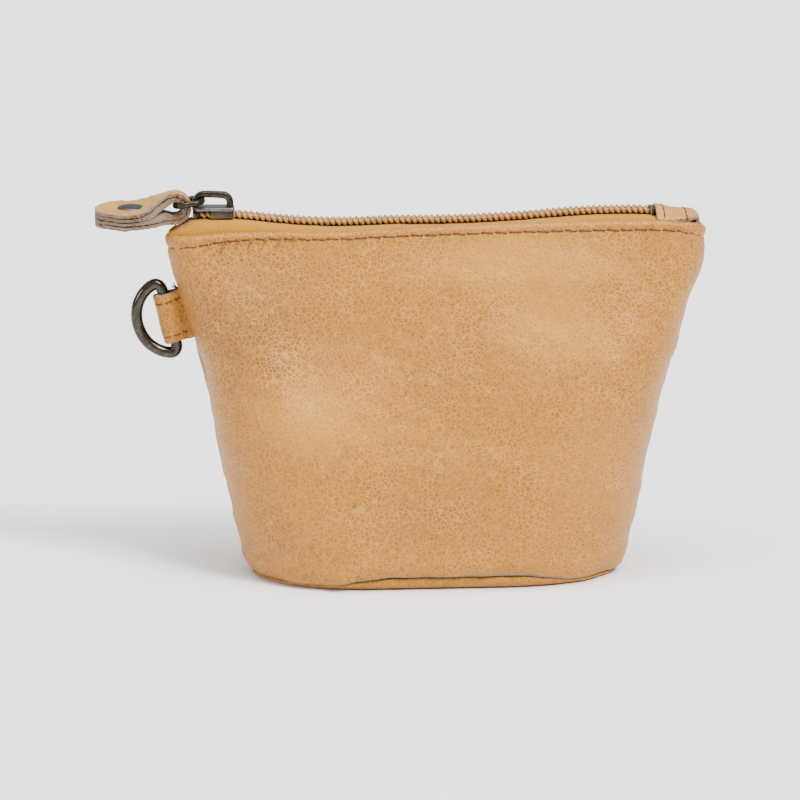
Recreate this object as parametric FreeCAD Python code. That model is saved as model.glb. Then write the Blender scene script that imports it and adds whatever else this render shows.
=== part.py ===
"""A small zippered leather pouch with a D-ring on its left seam.

Millimetres.  The origin is the centre of the underside, +X runs along the zip to the
right, +Y points from the front panel to the back panel, and +Z is up.
"""
import FreeCAD, Part
import math
import os

from FreeCAD import Vector

os.makedirs("parts", exist_ok=True)

# --- driving dimensions ------------------------------------------------------------
HEM_HEIGHT = 90.0              # top edge of the leather
BASE_RIM = 3.4                 # height where the walls stand on the base
BASE_ROUNDING = 2.6
BASE_FIT = 0.2                 # the base's hollow is this much smaller than the walls' inside
LEATHER = 1.3
LINING = 0.4
LINING_INSET = 2.1             # from the outside of the leather to the lining
LINING_TOP_GAP = 3.0           # the lining is sewn below the hem's top edge

# height, half width, half depth, run of the rounded end
SECTIONS = (
    (BASE_RIM, 48.6, 23.6, 33.0),
    (12.0, 51.6, 25.2, 33.0),
    (29.0, 55.0, 24.6, 30.0),
    (50.0, 59.2, 20.4, 24.0),
    (70.0, 65.6, 14.0, 16.0),
    (82.0, 68.9, 9.9, 10.0),
    (HEM_HEIGHT, 70.2, 8.0, 8.0),
)

TAPE = 0.5                     # thickness of the woven tape
TAPE_INSET = 1.45              # from the outside of the leather to the tape
TAPE_SKIRT_BOTTOM = 82.5
TAPE_FLAT = 93.1               # underside of the flat strip that carries the coil
TAPE_INNER_EDGE = 0.8          # half the gap between the two tapes
TAPE_FLAT_EDGE = 5.1           # where the flat strip turns down to the hem
TAPE_LEFT, TAPE_RIGHT = -60.0, 56.8
TAPE_END_LEFT, TAPE_END_RIGHT = -62.6, 60.0
TAPE_SHOULDER = 0.3            # the tape's upper corner is this far outside its lower one

COIL_WIDTH, COIL_HEIGHT = 2.6, 1.9
COIL_BEVEL = 0.45
COIL_GAP = 0.05                # half the gap between the meshed rows
COIL_LEFT, COIL_RIGHT = -60.0, 55.0
COIL_LEG_END, COIL_LEG_INNER = -60.9, 0.9
TOP_STOP_LEFT, TOP_STOP_RIGHT = -62.5, -61.0
STOP_CLEAR = 0.02
BOTTOM_STOP_LENGTH, BOTTOM_STOP_HALF, BOTTOM_STOP_HEIGHT = 1.7, 2.9, 2.2
BOTTOM_STOP_ROUNDING = 0.4

SLIDER_LEFT, SLIDER_RIGHT = -62.5, -51.7
SLIDER_HALF_WIDTH = 4.0
SLIDER_CORNER = 1.4
PLATE = 1.0
SLOT_ABOVE_TAPE, SLOT_BELOW_TAPE, ROOM_OVER_COIL = 0.15, 0.2, 0.1
FLANGE_LEFT, FLANGE_INNER = -57.8, 2.75
WEDGE_RIGHT, WEDGE_HALF = -60.2, 0.65

BAIL_LEFT, BAIL_RIGHT = -62.4, -52.2
BAIL_HEIGHT, BAIL_THICK, BAIL_HALF = 4.0, 1.2, 1.5
BAIL_LEFT_RADIUS, BAIL_RIGHT_RADIUS = 3.0, 2.4

RING_WIRE = 1.5
RING_LENGTH, RING_WIDTH, RING_CORNER = 7.0, 9.6, 2.4
RING_PIVOT_X = -59.9
RING_PIVOT_ABOVE_PLATE = 1.75
RING_DROOP = 9.5               # degrees below level

TAB_LAYER = 1.05
TAB_FOLD_RADIUS = 4.1          # outside of the fold round the pull ring
TAB_NECK_HALF = 3.55
TAB_NECK_LEFT, TAB_NECK_RIGHT = -3.0, 6.0
TAB_END_RADIUS = 9.8
TAB_RIVET_X = -12.4            # from the pull ring's far bar
TAB_TOP = -0.6                 # top of the flat end, above the far bar's axis
TAB_SHOULDER = 3.4             # from the rivet to where the round end meets the neck's sides
TAB_RAMP_X = -8.5              # where the fold's upper side has come down to the flat
TAB_RAMP_ANGLE = 118.0         # degrees round the fold to the start of its slope
TAB_RAMP_STEP = 0.3            # each inner layer's slope ends further right, by this share of its inset
TAB_PINCH = 1.6                # from the end of the slope to where the layers meet

RIVET_CAP_RADIUS, RIVET_CAP_HEIGHT = 3.6, 1.0
RIVET_POST_RADIUS = 1.2
RIVET_HEAD_RADIUS, RIVET_HEAD_HEIGHT = 3.0, 0.6
RIVET_CLEAR, RIVET_HOLE_CLEAR = 0.02, 0.05

D_WIRE = 3.0
D_INNER = 16.0
D_HEIGHT = 68.0
D_BAR_OUTSIDE = 3.7            # bar's axis outside the side seam
D_TILT = 14.0                  # degrees, as the side seam leans
LOOP_LEATHER = 1.3
LOOP_CLEARANCE = 0.1
LOOP_HALF = 7.1
LOOP_TAIL_HALF = 1.4
LOOP_IN_SEAM = 1.2
LOOP_STITCH_INSET = 2.0        # from the loop's edges to its stitches

END_TAB_LEFT, END_TAB_RIGHT = 57.0, 68.0
END_TAB_HALF = 6.8
END_TAB_LAYER = 1.2
END_TAB_CLEAR = 0.1
END_TAB_CORNER = 4.0
END_TAB_ROWS = (2.0, 7.8)      # the stitch rows, from the tab's left edge

STITCH_PITCH, STITCH_LENGTH, STITCH_THICK = 3.0, 2.2, 0.4
STITCH_CLEAR = 0.1             # the stitches lie this far off the leather
HEM_STITCH_DROP = 3.2


# --- helpers -----------------------------------------------------------------------
def box(x0, x1, y0, y1, z0, z1):
    """A block between two opposite corners."""
    return Part.makeBox(x1 - x0, y1 - y0, z1 - z0, Vector(x0, y0, z0))


def section_at(z):
    """Half width, half depth and end run of the pouch at a height."""
    for low, high in zip(SECTIONS, SECTIONS[1:]):
        if z <= high[0]:
            break
    t = (z - low[0]) / (high[0] - low[0])
    return [low[i] + t * (high[i] - low[i]) for i in (1, 2, 3)]


def quarter(corner, start, end):
    """A quarter of an ellipse from start to end, bulging towards the corner point."""
    curve = Part.BSplineCurve()
    curve.buildFromPolesMultsKnots(
        [start, corner, end], [3, 3], [0.0, 1.0], False, 2, [1.0, math.sqrt(0.5), 1.0]
    )
    return curve.toShape()


def half_outline(z, inset, side):
    """The three edges of half an oval, from its left end to its right end."""
    width, depth, run = section_at(z)
    a = width - inset
    b = side * (depth - inset)
    straight = width - run
    return [
        quarter(Vector(-a, b, z), Vector(-a, 0, z), Vector(-straight, b, z)),
        Part.makeLine(Vector(-straight, b, z), Vector(straight, b, z)),
        quarter(Vector(a, b, z), Vector(straight, b, z), Vector(a, 0, z)),
    ]


def half_ring(z, inset, thick, side):
    """The closed outline of half a wall at a height."""
    outer = half_outline(z, inset, side)
    inner = half_outline(z, inset + thick, side)
    a = section_at(z)[0] - inset
    ends = [
        Part.makeLine(Vector(a, 0, z), Vector(a - thick, 0, z)),
        Part.makeLine(Vector(thick - a, 0, z), Vector(-a, 0, z)),
    ]
    return Part.Wire(Part.__sortEdges__(outer + inner + ends))


def half_wall(inset, thick, side, bottom, top):
    """Half of a shell that follows the pouch's wall."""
    heights = [bottom] + [s[0] for s in SECTIONS if bottom < s[0] < top] + [top]
    rings = [half_ring(z, inset, thick, side) for z in heights]
    return Part.makeLoft(rings, True, True)


def oval_plate(inset, bottom, top):
    """A flat plate with the outline of the base."""
    edges = half_outline(BASE_RIM, inset, -1) + half_outline(BASE_RIM, inset, 1)
    outline = Part.Wire(Part.__sortEdges__(edges))
    outline.translate(Vector(0, 0, bottom - BASE_RIM))
    return Part.Face(outline).extrude(Vector(0, 0, top - bottom))


def prism_x(points, x0, x1, side):
    """Extrude a (y, z) polygon along X, mirrored to one side of the zip."""
    corners = [Vector(x0, side * y, z) for y, z in points]
    face = Part.Face(Part.makePolygon(corners + corners[:1]))
    return face.extrude(Vector(x1 - x0, 0, 0))


def face_of(edges):
    return Part.Face(Part.Wire(Part.__sortEdges__(edges)))


def save(name, shapes):
    """Write one node, made of one or more separate solids."""
    solids = shapes if isinstance(shapes, list) else [shapes]
    shape = solids[0] if len(solids) == 1 else Part.makeCompound(solids)
    shape.exportStep("parts/" + name + ".step")


# --- D-ring and its loop on the left seam ------------------------------------------
d_radius = (D_INNER + D_WIRE) / 2
d_pivot = Vector(-(section_at(D_HEIGHT)[0] + D_BAR_OUTSIDE), 0, D_HEIGHT)
D_FRAME = FreeCAD.Placement(d_pivot, FreeCAD.Rotation(Vector(0, 1, 0), -D_TILT))


def make_d_ring():
    """A straight bar on the pivot axis and a round bow that hangs outside it."""
    rod = D_WIRE / 2
    bar = Part.makeCylinder(rod, 2 * d_radius, Vector(0, 0, -d_radius), Vector(0, 0, 1))
    bow = Part.makeTorus(d_radius, rod, Vector(0, 0, 0), Vector(0, 1, 0))
    outside = box(-20, 0, -5, 5, -20, 20)
    ring = bow.common(outside).fuse(bar)
    for end in (-1, 1):
        ring = ring.fuse(Part.makeSphere(rod, Vector(0, 0, end * d_radius)))
    ring.Placement = D_FRAME
    return ring


def make_d_loop():
    """A leather strip folded round the bar, with its tail in the side seam."""
    bore = D_WIRE / 2 + LOOP_CLEARANCE
    outer = bore + LOOP_LEATHER
    low = Vector(0, 0, -LOOP_HALF)
    width = 2 * LOOP_HALF
    wrap = Part.makeCylinder(outer, width, low, Vector(0, 0, 1))
    tail_end = D_BAR_OUTSIDE + LOOP_IN_SEAM
    waist = [
        Vector(0, -outer, -LOOP_HALF),
        Vector(outer, -LOOP_TAIL_HALF, -LOOP_HALF),
        Vector(tail_end, -LOOP_TAIL_HALF, -LOOP_HALF),
        Vector(tail_end, LOOP_TAIL_HALF, -LOOP_HALF),
        Vector(outer, LOOP_TAIL_HALF, -LOOP_HALF),
        Vector(0, outer, -LOOP_HALF),
    ]
    tail = Part.Face(Part.makePolygon(waist + waist[:1])).extrude(Vector(0, 0, width))
    loop = wrap.fuse(tail).cut(Part.makeCylinder(bore, width, low, Vector(0, 0, 1)))
    loop = loop.removeSplitter()
    loop.Placement = D_FRAME
    return loop


def make_d_loop_stitches():
    """Two rows across the loop, on its front and back, beside its edges."""
    stitches = []
    reach = D_WIRE / 2 + LOOP_CLEARANCE + LOOP_LEATHER
    for side in (-1, 1):
        for row in (-1, 1):
            z = row * (LOOP_HALF - LOOP_STITCH_INSET)
            half = STITCH_THICK / 2
            y = side * (reach + STITCH_CLEAR + half)
            x = STITCH_LENGTH / 2
            stitch = box(-x, x, y - half, y + half, z - half, z + half)
            stitch.Placement = D_FRAME
            stitches.append(stitch)
    return stitches


# --- bag body ----------------------------------------------------------------------
def make_base_panel():
    """A shallow tray with a rounded lower edge."""
    tray = oval_plate(0, 0, BASE_RIM)
    rim = [e for e in tray.Edges if e.BoundBox.ZMax < 0.01]
    tray = tray.makeFillet(BASE_ROUNDING, rim)
    return tray.cut(oval_plate(LEATHER + BASE_FIT, LEATHER, BASE_RIM + 1))


def hem_stitches(side):
    """A straight row of stitches just below the hem."""
    z = HEM_HEIGHT - HEM_STITCH_DROP
    width, depth, run = section_at(z)
    half = STITCH_THICK / 2
    y = side * (depth + STITCH_CLEAR + half)
    count = int(2 * (width - run) / STITCH_PITCH)
    start = -count * STITCH_PITCH / 2
    stitches = []
    for i in range(count):
        x = start + i * STITCH_PITCH
        stitches.append(box(x, x + STITCH_LENGTH, y - half, y + half, z - half, z + half))
    return stitches


# --- zip ---------------------------------------------------------------------------
def make_tape(side):
    """A flat strip for the coil that turns down into the hem and lies in the seam."""
    low_y = section_at(TAPE_SKIRT_BOTTOM)[1] - TAPE_INSET
    hem_y = section_at(HEM_HEIGHT)[1] - TAPE_INSET
    flat_top = TAPE_FLAT + TAPE
    skirt = prism_x(
        [
            (low_y, TAPE_SKIRT_BOTTOM),
            (hem_y, HEM_HEIGHT),
            (TAPE_FLAT_EDGE + TAPE_SHOULDER, flat_top),
            (TAPE_INNER_EDGE, flat_top),
            (TAPE_INNER_EDGE, TAPE_FLAT),
            (TAPE_FLAT_EDGE, TAPE_FLAT),
            (hem_y - TAPE, HEM_HEIGHT),
            (low_y - TAPE, TAPE_SKIRT_BOTTOM),
        ],
        TAPE_LEFT,
        TAPE_RIGHT,
        side,
    )
    strip = [
        (TAPE_INNER_EDGE, TAPE_FLAT),
        (TAPE_FLAT_EDGE, TAPE_FLAT),
        (TAPE_FLAT_EDGE, flat_top),
        (TAPE_INNER_EDGE, flat_top),
    ]
    left = prism_x(strip, TAPE_END_LEFT, TAPE_LEFT, side)
    right = prism_x(strip, TAPE_RIGHT, TAPE_END_RIGHT, side)
    return skirt.fuse([left, right]).removeSplitter()


def make_coil(side):
    """The bar that one row of coil fills, stepped past the slider's wedge."""
    z0 = TAPE_FLAT + TAPE
    z1 = z0 + COIL_HEIGHT
    row = [
        (COIL_GAP, z0),
        (COIL_WIDTH, z0),
        (COIL_WIDTH, z1 - COIL_BEVEL),
        (COIL_WIDTH - COIL_BEVEL, z1),
        (COIL_GAP, z1),
    ]
    leg = [(COIL_LEG_INNER, z0)] + row[1:4] + [(COIL_LEG_INNER, z1)]
    bar = prism_x(row, COIL_LEFT, COIL_RIGHT, side)
    return bar.fuse(prism_x(leg, COIL_LEG_END, COIL_LEFT, side)).removeSplitter()


def make_top_stop(side):
    """A crimped stop at the end of one row, in the mouth of the closed slider."""
    z0 = TAPE_FLAT + TAPE + STOP_CLEAR
    z1 = TAPE_FLAT + TAPE + COIL_HEIGHT - STOP_CLEAR
    y0, y1 = sorted((side * COIL_LEG_INNER, side * COIL_WIDTH))
    return box(TOP_STOP_LEFT, TOP_STOP_RIGHT, y0, y1, z0, z1)


def make_bottom_stop():
    """A staple over both rows at the right end of the chain."""
    z0 = TAPE_FLAT + TAPE + STOP_CLEAR
    z1 = z0 + BOTTOM_STOP_HEIGHT
    left = COIL_RIGHT + 0.1
    staple = box(left, left + BOTTOM_STOP_LENGTH, -BOTTOM_STOP_HALF, BOTTOM_STOP_HALF, z0, z1)
    top = [e for e in staple.Edges if e.BoundBox.ZMin > z1 - 0.1]
    return staple.makeFillet(BOTTOM_STOP_ROUNDING, top)


def make_end_tab():
    """A leather patch folded over the chain's right end."""
    upper = TAPE_FLAT + TAPE + END_TAB_CLEAR
    lower = TAPE_FLAT - END_TAB_CLEAR
    patch = box(
        END_TAB_LEFT, END_TAB_RIGHT, -END_TAB_HALF, END_TAB_HALF,
        lower - END_TAB_LAYER, upper + END_TAB_LAYER,
    )
    right = [e for e in patch.Edges if e.BoundBox.XMin > END_TAB_RIGHT - 0.01]
    corners = [e for e in right if e.BoundBox.ZLength > 1]
    patch = patch.makeFillet(END_TAB_CORNER, corners)
    inside = box(END_TAB_LEFT - 1, TAPE_END_RIGHT + 0.2, -10, 10, lower, upper)
    return patch.cut(inside)


def make_end_tab_stitches():
    """Two rows across the end tab."""
    z = TAPE_FLAT + TAPE + END_TAB_CLEAR + END_TAB_LAYER + STITCH_CLEAR
    half = STITCH_THICK / 2
    stitches = []
    for row in END_TAB_ROWS:
        x = END_TAB_LEFT + row
        for i in range(-2, 2):
            y = i * STITCH_PITCH + (STITCH_PITCH - STITCH_LENGTH) / 2
            stitches.append(box(x - half, x + half, y, y + STITCH_LENGTH, z, z + STITCH_THICK))
    return stitches


# --- slider and pull ---------------------------------------------------------------
under_tape = TAPE_FLAT - SLOT_BELOW_TAPE
over_coil = TAPE_FLAT + TAPE + COIL_HEIGHT + ROOM_OVER_COIL
plate_top = over_coil + PLATE


def slider_plate(z0):
    """A plate with rounded corners, full width at its wedge end."""
    plate = box(SLIDER_LEFT, SLIDER_RIGHT, -SLIDER_HALF_WIDTH, SLIDER_HALF_WIDTH, z0, z0 + PLATE)
    upright = [e for e in plate.Edges if abs(e.BoundBox.ZLength - PLATE) < 0.01]
    return plate.makeFillet(SLIDER_CORNER, upright)


def make_slider_body():
    """Two plates joined by a wedge, with a flange down each side of the upper one."""
    body = slider_plate(under_tape - PLATE).fuse(slider_plate(over_coil))
    slot = TAPE_FLAT + TAPE + SLOT_ABOVE_TAPE
    for side in (-1, 1):
        y0, y1 = sorted((side * FLANGE_INNER, side * SLIDER_HALF_WIDTH))
        body = body.fuse(box(FLANGE_LEFT, SLIDER_RIGHT - SLIDER_CORNER, y0, y1, slot, over_coil))
    wedge = box(SLIDER_LEFT + 0.1, WEDGE_RIGHT, -WEDGE_HALF, WEDGE_HALF, under_tape, over_coil)
    return body.fuse(wedge).removeSplitter()


def make_bail():
    """An arch over the upper plate that holds the pull ring."""
    def arch(x0, x1, z1, left, right):
        block = box(x0, x1, -BAIL_HALF, BAIL_HALF, plate_top, z1)
        for x, radius in ((x0, left), (x1, right)):
            edge = [
                e for e in block.Edges
                if abs(e.CenterOfMass.x - x) < 0.01 and abs(e.CenterOfMass.z - z1) < 0.01
            ]
            block = block.makeFillet(radius, edge)
        return block

    top = plate_top + BAIL_HEIGHT
    outer = arch(BAIL_LEFT, BAIL_RIGHT, top, BAIL_LEFT_RADIUS, BAIL_RIGHT_RADIUS)
    inner = arch(
        BAIL_LEFT + BAIL_THICK, BAIL_RIGHT - BAIL_THICK, top - BAIL_THICK,
        BAIL_LEFT_RADIUS - BAIL_THICK, BAIL_RIGHT_RADIUS - BAIL_THICK,
    )
    return outer.cut(inner)


ring_pivot = Vector(RING_PIVOT_X, 0, plate_top + RING_PIVOT_ABOVE_PLATE)
RING_FRAME = FreeCAD.Placement(ring_pivot, FreeCAD.Rotation(Vector(0, 1, 0), -RING_DROOP))
tab_pivot = RING_FRAME.multVec(Vector(-RING_LENGTH, 0, 0))


def make_pull_ring():
    """A rounded oblong of wire, whose near bar lies on the pivot axis."""
    half = RING_WIDTH / 2
    corner = RING_CORNER
    bend = corner * math.sqrt(0.5)
    edges = []
    for x, run in ((0.0, -1), (-RING_LENGTH, 1)):
        edges.append(Part.makeLine(Vector(x, corner - half, 0), Vector(x, half - corner, 0)))
        for side in (-1, 1):
            centre = Vector(x + run * corner, side * (half - corner), 0)
            start = centre + Vector(-run * corner, 0, 0)
            middle = centre + Vector(-run * bend, side * bend, 0)
            end = centre + Vector(0, side * corner, 0)
            edges.append(Part.Arc(start, middle, end).toShape())
    for side in (-1, 1):
        edges.append(Part.makeLine(
            Vector(-corner, side * half, 0), Vector(corner - RING_LENGTH, side * half, 0)
        ))
    path = Part.Wire(Part.__sortEdges__(edges))
    start = path.OrderedVertexes[0].Point
    direction = path.OrderedEdges[0].tangentAt(path.OrderedEdges[0].FirstParameter)
    profile = Part.Wire(Part.makeCircle(RING_WIRE / 2, start, direction))
    ring = path.makePipeShell([profile], True, True)
    ring.Placement = RING_FRAME
    return ring


def fold_solid(inset, corners):
    """The fold's arc, inset from its surface and closed through the corners, across the strip."""
    radius = TAB_FOLD_RADIUS - inset
    bottom = TAB_TOP - 4 * TAB_LAYER + inset
    drop = bottom + radius
    ramp = math.radians(TAB_RAMP_ANGLE)
    start = Vector(0, 0, bottom)
    shoulder = Vector(radius * math.cos(ramp), 0, drop + radius * math.sin(ramp))
    arc = Part.Arc(start, Vector(radius, 0, drop), shoulder).toShape()
    stops = [shoulder] + corners + [start]
    lines = [Part.makeLine(a, b) for a, b in zip(stops, stops[1:])]
    reach = 2 * TAB_END_RADIUS
    return face_of([arc] + lines).extrude(Vector(0, 2 * reach, 0)).translated(Vector(0, -reach, 0))


def tab_side(inset):
    """The folded strip as if filled in, inset from its surface."""
    end = TAB_RIVET_X - TAB_END_RADIUS - 1
    top = TAB_TOP - inset
    bottom = TAB_TOP - 4 * TAB_LAYER + inset
    slope_end = TAB_RAMP_X + TAB_RAMP_STEP * inset
    return fold_solid(inset, [Vector(slope_end, 0, top), Vector(end, 0, top), Vector(end, 0, bottom)])


def tab_fold_space():
    """The hollow of the fold, where the pull ring's far bar lies."""
    inset = 2 * TAB_LAYER
    return fold_solid(inset, [Vector(TAB_RAMP_X + TAB_PINCH, 0, TAB_TOP - inset)])


def tab_plan():
    """The strip seen from above: a narrow neck that widens to a round end."""
    low, high = -20, 20
    end = Part.makeCylinder(TAB_END_RADIUS, high - low, Vector(TAB_RIVET_X, 0, low))
    shoulder = TAB_RIVET_X + TAB_SHOULDER
    shoulder_half = math.sqrt(TAB_END_RADIUS ** 2 - TAB_SHOULDER ** 2)
    neck = [
        Vector(shoulder, -shoulder_half, low),
        Vector(TAB_NECK_LEFT, -TAB_NECK_HALF, low),
        Vector(TAB_NECK_RIGHT, -TAB_NECK_HALF, low),
        Vector(TAB_NECK_RIGHT, TAB_NECK_HALF, low),
        Vector(TAB_NECK_LEFT, TAB_NECK_HALF, low),
        Vector(shoulder, shoulder_half, low),
    ]
    strip = Part.Face(Part.makePolygon(neck + neck[:1])).extrude(Vector(0, 0, high - low))
    return end.fuse(strip)


def make_tab():
    """The outer and the lining strip of the pull tab."""
    plan = tab_plan()
    hole = Part.makeCylinder(RIVET_POST_RADIUS + RIVET_HOLE_CLEAR, 20, Vector(TAB_RIVET_X, 0, -10))
    outer = tab_side(0).cut(tab_side(TAB_LAYER)).common(plan).cut(hole)
    lining = tab_side(TAB_LAYER).cut(tab_fold_space()).common(plan).cut(hole)
    for shape in (outer, lining):
        shape.translate(tab_pivot)
    return outer, lining


def make_rivet():
    """A domed cap on top, and a post with a flat head underneath."""
    top = TAB_TOP + RIVET_CLEAR
    bottom = TAB_TOP - 4 * TAB_LAYER - RIVET_CLEAR
    sphere_radius = (RIVET_CAP_RADIUS ** 2 + RIVET_CAP_HEIGHT ** 2) / (2 * RIVET_CAP_HEIGHT)
    centre = Vector(TAB_RIVET_X, 0, top + RIVET_CAP_HEIGHT - sphere_radius)
    disc = Part.makeCylinder(RIVET_CAP_RADIUS + 1, 5, Vector(TAB_RIVET_X, 0, top))
    cap = Part.makeSphere(sphere_radius, centre).common(disc)
    post = Part.makeCylinder(RIVET_POST_RADIUS, top - bottom, Vector(TAB_RIVET_X, 0, bottom))
    head_low = Vector(TAB_RIVET_X, 0, bottom - RIVET_HEAD_HEIGHT)
    head = Part.makeCylinder(RIVET_HEAD_RADIUS, RIVET_HEAD_HEIGHT, head_low)
    post = post.fuse(head).removeSplitter()
    for shape in (cap, post):
        shape.translate(tab_pivot)
    return cap, post


# --- build -------------------------------------------------------------------------
d_loop = make_d_loop()
for name, side in (("front", -1), ("back", 1)):
    wall = half_wall(0, LEATHER, side, BASE_RIM, HEM_HEIGHT)
    save(name + "_panel", wall.cut(d_loop))
    lining_top = HEM_HEIGHT - LINING_TOP_GAP
    save(name + "_lining", half_wall(LINING_INSET, LINING, side, BASE_RIM, lining_top))
    save("zip_tape_" + name, make_tape(side))
    save("zip_coil_" + name, make_coil(side))
    save("zip_top_stop_" + name, make_top_stop(side))
    save(name + "_hem_thread", hem_stitches(side))

save("base_panel", make_base_panel())
save("base_lining", oval_plate(LINING_INSET + LINING, LEATHER + 0.05, LEATHER + 0.05 + LINING))
save("zip_bottom_stop", make_bottom_stop())
save("zip_end_tab", make_end_tab())
save("end_tab_thread", make_end_tab_stitches())

save("slider_body", make_slider_body())
save("slider_bail", make_bail())
save("pull_ring", make_pull_ring())
tab_outer, tab_lining = make_tab()
save("pull_tab_outer", tab_outer)
save("pull_tab_lining", tab_lining)
rivet_cap, rivet_post = make_rivet()
save("rivet_cap", rivet_cap)
save("rivet_post", rivet_post)

save("d_ring", make_d_ring())
save("d_ring_loop", d_loop)
save("d_loop_thread", make_d_loop_stitches())
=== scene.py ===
"""The looks of the zippered pouch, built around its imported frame.

Shapes are worked out in millimetres and turned into metres as each mesh is made.
"""

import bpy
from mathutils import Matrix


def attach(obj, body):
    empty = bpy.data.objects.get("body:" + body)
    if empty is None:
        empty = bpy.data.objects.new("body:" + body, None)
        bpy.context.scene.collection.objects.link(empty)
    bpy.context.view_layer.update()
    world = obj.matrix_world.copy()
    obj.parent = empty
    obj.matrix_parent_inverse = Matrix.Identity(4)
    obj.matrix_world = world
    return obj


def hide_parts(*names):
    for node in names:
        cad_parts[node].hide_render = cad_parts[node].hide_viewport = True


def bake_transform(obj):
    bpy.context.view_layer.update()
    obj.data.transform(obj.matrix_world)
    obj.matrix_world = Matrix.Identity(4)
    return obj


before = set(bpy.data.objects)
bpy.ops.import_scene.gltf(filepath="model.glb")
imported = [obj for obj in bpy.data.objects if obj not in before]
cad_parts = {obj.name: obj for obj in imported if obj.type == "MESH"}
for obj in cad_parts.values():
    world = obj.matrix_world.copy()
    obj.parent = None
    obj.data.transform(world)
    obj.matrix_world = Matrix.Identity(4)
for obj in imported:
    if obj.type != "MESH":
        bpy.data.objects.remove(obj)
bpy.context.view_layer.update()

import math

import bmesh
import bpy
import numpy as np
from mathutils import Vector

MM = 0.001
SIDES = {"front": -1, "back": 1}

# Driving shape, as in the frame.
HEM = 90.0
RIM = 3.4
# Height and the oval's half width, half depth and the length of its rounded ends.
LEVELS = (
    (0, 47.0, 23.0, 33.0), (RIM, 48.6, 23.6, 33.0), (12, 51.6, 25.2, 33.0), (29, 55.0, 24.6, 30.0),
    (50, 59.2, 20.4, 24.0), (70, 65.2, 14.0, 16.0), (82, 68.5, 9.9, 10.6), (90, 69.5, 8.0, 8.4),
    (96, 70.3, 7.0, 7.6),
)
HEM_RISE = (
    (-71, -0.3), (-66, 0.1), (-58, 0.8), (-46, 1.2), (-28, 0.9), (-8, 1.8), (23, 2.7), (50, 3.0), (62, 2.7),
    (68, 1.6), (71, 0.2),
)
COIL_MIDDLE = 94.55
COIL_SAG = (
    (-66, 0), (-51, 0), (-42, -1.0), (-33, -1.8), (-25, -2.1), (-12, -1.8), (3, -1.8), (13, -1.5), (23, -1.0),
    (32, -0.3), (42, 0.2), (48, 0.25), (54, 0.1), (60, -0.8),
)
LEATHER = 1.25
FOLD_INSET = 2.3
STITCH_DROP = ((-71, 3.6), (-64, 3.1), (-54, 2.2), (-40, 1.9), (0, 2.2), (40, 2.4), (60, 2.5), (71, 3.2))
HEM_PITCH = 3.6
WALL_SAG = 2.5

SPLIT_X = -23.0


def curve_through(points):
    """A smooth function through (place, value) points."""
    xs, ys = np.array(points, float).T
    slopes = np.gradient(ys, xs)

    def value(x):
        x = np.clip(x, xs[0], xs[-1])
        i = np.clip(np.searchsorted(xs, x, side="right") - 1, 0, len(xs) - 2)
        h = xs[i + 1] - xs[i]
        t = (x - xs[i]) / h
        a, b = ys[i], ys[i + 1]
        m, n = slopes[i] * h, slopes[i + 1] * h
        start = (2 * t**3 - 3 * t**2 + 1) * a + (t**3 - 2 * t**2 + t) * m
        return start + (3 * t**2 - 2 * t**3) * b + (t**3 - t**2) * n

    return value


half_width, half_depth, corner_run = [
    curve_through([(level[0], level[k]) for level in LEVELS]) for k in (1, 2, 3)
]
hem_rise = curve_through(HEM_RISE)
coil_sag = curve_through(COIL_SAG)
stitch_drop = curve_through(STITCH_DROP)


def smooth_step(x, low, high):
    t = np.clip((x - low) / (high - low), 0, 1)
    return t * t * (3 - 2 * t)


def squared_off(wave, power):
    """A sine or cosine with flatter tops, for a ring that is nearly a rectangle."""
    return np.sign(wave) * np.abs(wave) ** power


def base_drop(x):
    """How far the walls sag below the base seam's height at each place along the pouch."""
    return WALL_SAG * smooth_step(np.abs(x - 3), 15, 36)


def ripple(x, z, size, seed):
    """Smooth noise of about -1 to 1, from a few seeded waves."""
    count = 14
    rng = np.random.default_rng(seed)
    total = np.zeros(np.broadcast(x, z).shape)
    for _ in range(count):
        angle = rng.uniform(0, math.tau)
        wave = math.tau / (size * rng.uniform(0.6, 1.7))
        total = total + np.sin(wave * (math.cos(angle) * x + math.sin(angle) * z) + rng.uniform(0, math.tau))
    return total / math.sqrt(count)


# Meshes.
def grid_faces(rows, cols, wrap_rows=False, wrap_cols=False):
    """Quads between neighbouring points of a grid, stored row by row."""
    r = np.arange(rows if wrap_rows else rows - 1)
    c = np.arange(cols if wrap_cols else cols - 1)
    r, c = [a.ravel() for a in np.meshgrid(r, c, indexing="ij")]
    r2, c2 = (r + 1) % rows, (c + 1) % cols
    return np.stack([r * cols + c, r * cols + c2, r2 * cols + c2, r2 * cols + c], 1).tolist()


def end_caps(rows, cols):
    """A face over the first row and one over the last."""
    return [list(range(cols)), list(range((rows - 1) * cols, rows * cols))]


def side_caps(rows, cols):
    """A face over the first column and one over the last."""
    return [list(range(col, rows * cols, cols)) for col in (0, cols - 1)]


def make_mesh(name, verts, faces, materials, face_materials=None, smooth=True):
    """An object from points in millimetres, with outward faces."""
    mesh = bpy.data.meshes.new(name)
    mesh.from_pydata((np.asarray(verts, float) * MM).tolist(), [], faces)
    for material in materials:
        mesh.materials.append(material)
    if face_materials is not None:
        mesh.polygons.foreach_set("material_index", face_materials)
    bm = bmesh.new()
    bm.from_mesh(mesh)
    bmesh.ops.remove_doubles(bm, verts=bm.verts, dist=1e-7)
    bmesh.ops.recalc_face_normals(bm, faces=bm.faces)
    bm.to_mesh(mesh)
    bm.free()
    mesh.polygons.foreach_set("use_smooth", [smooth] * len(mesh.polygons))
    piece = bpy.data.objects.new(name, mesh)
    bpy.context.scene.collection.objects.link(piece)
    return piece


def place(piece, body, slot, *nodes):
    """Ride on a body and hide the plain nodes that the piece stands for."""
    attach(piece, body)
    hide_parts(*nodes)


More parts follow.
